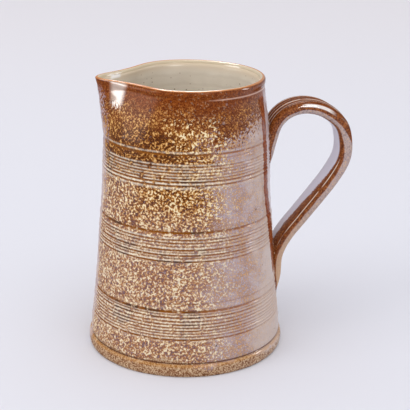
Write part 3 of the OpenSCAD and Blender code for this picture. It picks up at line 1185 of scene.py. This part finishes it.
def section_point(row, turn):
    across, thick = (math.copysign(abs(wave) ** squareness, wave)
                     for wave in (math.cos(turn), math.sin(turn)))
    dent = 0.0
    if thick > 0:
        dent = row["deep"] * (bell(across - finger_place, finger_spread)
                              + bell(across + finger_place, finger_spread))
    lift = row["half_t"] * thick - dent
    return Vector(row["place"]) + Vector(row["back"]) * lift + Vector((0, row["half_w"] * across, 0))


def above_wall(point):
    return math.hypot(point.x, point.y) - wall_r(point.z)


def on_wall(point, above=0.0):
    flat = Vector((point.x, point.y, 0)).normalized() * (wall_r(point.z) + above)
    return flat + Vector((0, 0, point.z))


def crossing(rows, turn):
    before = section_point(rows[0], turn)
    for row in rows[1:]:
        after = section_point(row, turn)
        low, high = above_wall(before), above_wall(after)
        if low <= 0 < high:
            return before.lerp(after, -low / (high - low)), (after - before).normalized()
        before = after
    raise ValueError("the strap never leaves the wall")


low_back = crossing(strap[::-1], math.pi / 2)[0]
print("low down, the strap's back meets the wall at", round(low_back.z / mm, 1), "mm")

# %% Wipe both joints
joint_wide = 3.0 * mm
joint_columns = 72
joint_count = 9
hold_above = 0.1 * mm
foot_below = 0.12 * mm
sunk = 0.8 * mm
climb = 0.9


def joint_points(spot, way, middle):
    away = spot - middle
    skin_up = Vector((spot.x, spot.y, 0)).normalized()
    away = (away - skin_up * away.dot(skin_up)).normalized()
    foot = on_wall(spot + away * joint_wide, -foot_below)
    hold = on_wall(spot, hold_above)
    tip = spot + way * joint_wide * climb
    points = []
    for k in range(joint_count - 1):
        t = k / (joint_count - 2)
        points.append(foot * (1 - t) ** 2 + hold * 2 * t * (1 - t) + tip * t * t)
    return points + [on_wall(spot - away * sunk, -sunk)]


def joint_ring(name, rows):
    hits = [crossing(rows, 2 * math.pi * i / joint_columns) for i in range(joint_columns)]
    middle = sum((hit[0] for hit in hits), Vector()) / joint_columns
    points = [point for spot, way in hits for point in joint_points(spot, way, middle)]
    faces = []
    for i in range(joint_columns):
        for k in range(joint_count):
            a, b = i * joint_count + k, i * joint_count + (k + 1) % joint_count
            c, d = ((n + joint_count) % len(points) for n in (a, b))
            faces.append((a, b, d, c))
    mesh = bpy.data.meshes.new(name)
    mesh.from_pydata(points, [], faces)
    face_outwards(mesh)
    mesh.shade_smooth()
    mesh.materials.append(slip_finish)
    print(name, "goes round", joint_columns, "points")
    return new_piece(name, mesh)


upper_joint = joint_ring("upper_wiped_joint", strap[:strap_rows // 2])
settle(upper_joint, "upper_joint_slip", slot="joint_slip")
lower_joint = joint_ring("lower_wiped_joint", strap[::-1][:strap_rows // 2])
settle(lower_joint, "lower_joint_slip", slot="joint_slip")

# %% [markdown]
# ## The studio
# The photograph was taken on white paper in a pale room. Its soft shadow asks for a panel high
# on the left and a wide one over the front, and its highlights for four smaller cards. No lamp
# is both that soft and that bright, so two light the clay only, and four show in the glaze
# only. The world has one level for the clay, one for the camera and a darker one for
# reflections.

# %% Floor and world
floor_half = 6.0
room_colour = (0.97, 0.965, 1.0, 1.0)


def paper_floor():
    mesh = bpy.data.meshes.new("paper_floor")
    corners = ((-1, -1), (1, -1), (1, 1), (-1, 1))
    mesh.from_pydata([(x * floor_half, y * floor_half, 0) for x, y in corners], [], [(0, 1, 2, 3)])
    material, place = new_material("White paper")
    depth = fade(axes(place)["Y"], 0.1, 1.6)
    colour = blend(depth, ink(*tints["near paper"]), ink(*tints["far paper"]))
    shader = Node(place.tree, "ShaderNodeBsdfDiffuse", Color=colour)
    Node(place.tree, "ShaderNodeOutputMaterial", Surface=shader[0])
    mesh.materials.append(material)
    new_piece("paper_floor", mesh)


def pale_world(light=0.86, seen=0.833, mirrored=0.45):
    world = bpy.data.worlds.new("White studio")
    bpy.context.scene.world = world
    world.use_nodes = True
    tree = world.node_tree
    tree.nodes.clear()
    path = Node(tree, "ShaderNodeLightPath")
    level = path["Is Camera Ray"] * (seen - light) + light
    level = path["Is Glossy Ray"] * (mirrored - light) + level
    back = Node(tree, "ShaderNodeBackground", Color=room_colour, Strength=level)
    Node(tree, "ShaderNodeOutputWorld", Surface=back[0])


paper_floor()
pale_world()
print("floor and world made")

# %% Lamps
lamp_aim = Vector((0, 0, 0.12))
lamp_colour = (1.0, 0.985, 0.97)


def panel(name, place, size, level, shine=True):
    place = Vector(place)
    lamp = bpy.data.lights.new(name, "AREA")
    lamp.shape = "RECTANGLE"
    lamp.size, lamp.size_y = size
    lamp.energy = level * math.pi * size[0] * size[1]
    lamp.color = lamp_colour
    holder = new_piece(name, lamp)
    holder.location = place
    holder.rotation_euler = (lamp_aim - place).to_track_quat("-Z", "Y").to_euler()
    holder.visible_glossy = shine
    holder.visible_diffuse = not shine


panel("left_light", (-2.2, -0.9, 1.9), (1.6, 1.6), 2.1, shine=False)
panel("front_light", (0.20, -1.60, 4.20), (3.4, 3.4), 1.32, shine=False)
panel("left_card", (-2.54, -0.05, 0.55), (1.3, 1.0), 15.0)
panel("right_card", (2.45, -0.17, 0.90), (0.5, 0.7), 20.0)
panel("front_card", (0.70, -2.30, 1.09), (0.75, 0.9), 44.0)
panel("back_card", (0.0, 1.60, 2.22), (1.4, 0.75), 26.0)
print("lamps placed")

# %% [markdown]
# ## The camera
# The camera was worked out from the photograph: the ellipses of the foot, the bands and the rim
# give its height and tilt, and their spread gives its distance, four jug heights away. Turned
# by eye it would leave each a little off, so the fitted angles, in radians, are used.

# %% Camera
camera_far = 800 * mm
camera_up = 368.29 * mm
pitch = 0.32067
yaw = -0.01709
roll = 0.01156
round_jug = math.radians(-7.5)
lens_px = 1170.36
picture_px = 410
sensor_mm = 36
far_end = 50


def turned(angle, axis):
    return Matrix.Rotation(angle, 4, axis)


def photo_camera():
    place = turned(round_jug, "Z") @ Vector((0, -camera_far, camera_up))
    aim = turned(round_jug + yaw, "Z") @ turned(math.pi / 2 - pitch, "X") @ turned(roll, "Z")
    camera = bpy.data.cameras.new("photo_camera")
    camera.sensor_width = sensor_mm
    camera.lens = sensor_mm * lens_px / picture_px
    camera.clip_end = far_end
    holder = new_piece("photo_camera", camera)
    holder.matrix_world = Matrix.Translation(place) @ aim
    bpy.context.scene.camera = holder
    print("camera at", [round(v, 3) for v in place])


photo_camera()
bpy.context.scene.view_settings.view_transform = "Standard"

# %% [markdown]
# ## The end
# The dressed jug has to stay inside the frame's own box.

# %% End
print("scene built")
